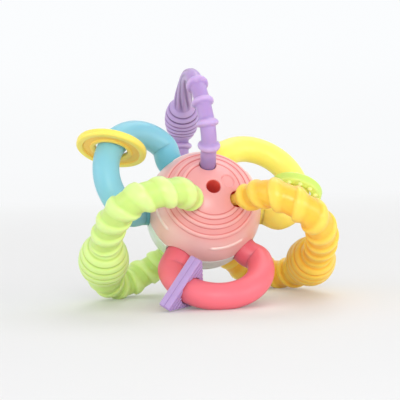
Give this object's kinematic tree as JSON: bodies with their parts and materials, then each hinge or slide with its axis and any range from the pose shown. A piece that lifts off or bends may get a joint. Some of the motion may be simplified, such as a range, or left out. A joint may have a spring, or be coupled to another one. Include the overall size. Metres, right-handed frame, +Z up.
{
  "type": "teething toy",
  "caption": "Grasping-ball teether: two-tone rattle ball ringed by bent textured and smooth soft loops, with loose shaped rings threaded on the smooth loops.",
  "frame": {"origin": "middle of the bounding box on the plane of the table that the toy stands on", "axes": "+Z up as the toy stands on its lime, orange and red loops, -Y towards the side with the sound hole, +X to the right seen from there"},
  "size_m": [0.1214, 0.1176, 0.1087],
  "materials": {
    "coral_shell": "moulded, soft gloss",
    "mint_shell": "moulded, soft gloss",
    "lilac_soft": "satin elastomer",
    "lime_soft": "satin elastomer",
    "orange_soft": "satin elastomer",
    "yellow_soft": "satin elastomer",
    "blue_soft": "satin elastomer",
    "red_soft": "satin elastomer",
    "amber_ring": "satin elastomer",
    "lime_ring": "satin elastomer",
    "purple_ring": "satin elastomer",
    "red_plastic": "moulded",
    "white_plastic": "moulded",
    "amber_bead": "moulded"
  },
  "bodies": {
    "root": {"upper_shell": "coral_shell", "lower_shell": "mint_shell", "lilac_loop": "lilac_soft", "lime_loop": "lime_soft", "orange_loop": "orange_soft", "yellow_loop": "yellow_soft", "blue_loop": "blue_soft", "red_loop": "red_soft", "rattle_case_upper": "red_plastic", "rattle_case_lower": "white_plastic", "lilac_washer_upper": "red_plastic", "lilac_washer_lower": "white_plastic", "lime_washer_upper": "red_plastic", "lime_washer_lower": "white_plastic", "orange_washer_upper": "red_plastic", "orange_washer_lower": "white_plastic"},
    "disc": {"disc_ring": "amber_ring"},
    "studded": {"studded_ring": "lime_ring"},
    "triangle": {"triangle_ring": "purple_ring"},
    "bead_1": {"rattle_bead_1": "amber_bead"},
    "bead_2": {"rattle_bead_2": "red_plastic"},
    "bead_3": {"rattle_bead_3": "white_plastic"}
  },
  "joints": [
    {"name": "disc_slide", "type": "hinge", "parent": "root", "child": "disc", "pos_m": [-0.02925, -0.00288, 0.05909], "axis": [0.5237, -0.7966, 0.3019], "range_deg": [-64, 64]},
    {"name": "studded_slide", "type": "hinge", "parent": "root", "child": "studded", "pos_m": [0.02471, 0.00481, 0.05345], "axis": [0.2996, -0.6989, 0.6495], "range_deg": [-36, 104]},
    {"name": "triangle_slide", "type": "hinge", "parent": "root", "child": "triangle", "pos_m": [0.0016, -0.02104, 0.01697], "axis": [0.0192, -0.5393, 0.8419], "range_deg": [-15, 125]},
    {"name": "bead_1_roll", "type": "hinge", "parent": "root", "child": "bead_1", "pos_m": [-0.00205, -0.00597, 0.04225], "axis": [1, 0, 0], "continuous": true},
    {"name": "bead_2_roll", "type": "hinge", "parent": "root", "child": "bead_2", "pos_m": [-0.00205, -0.00597, 0.04225], "axis": [1, 0, 0], "continuous": true},
    {"name": "bead_3_roll", "type": "hinge", "parent": "root", "child": "bead_3", "pos_m": [-0.00205, -0.00597, 0.04225], "axis": [1, 0, 0], "continuous": true}
  ]
}
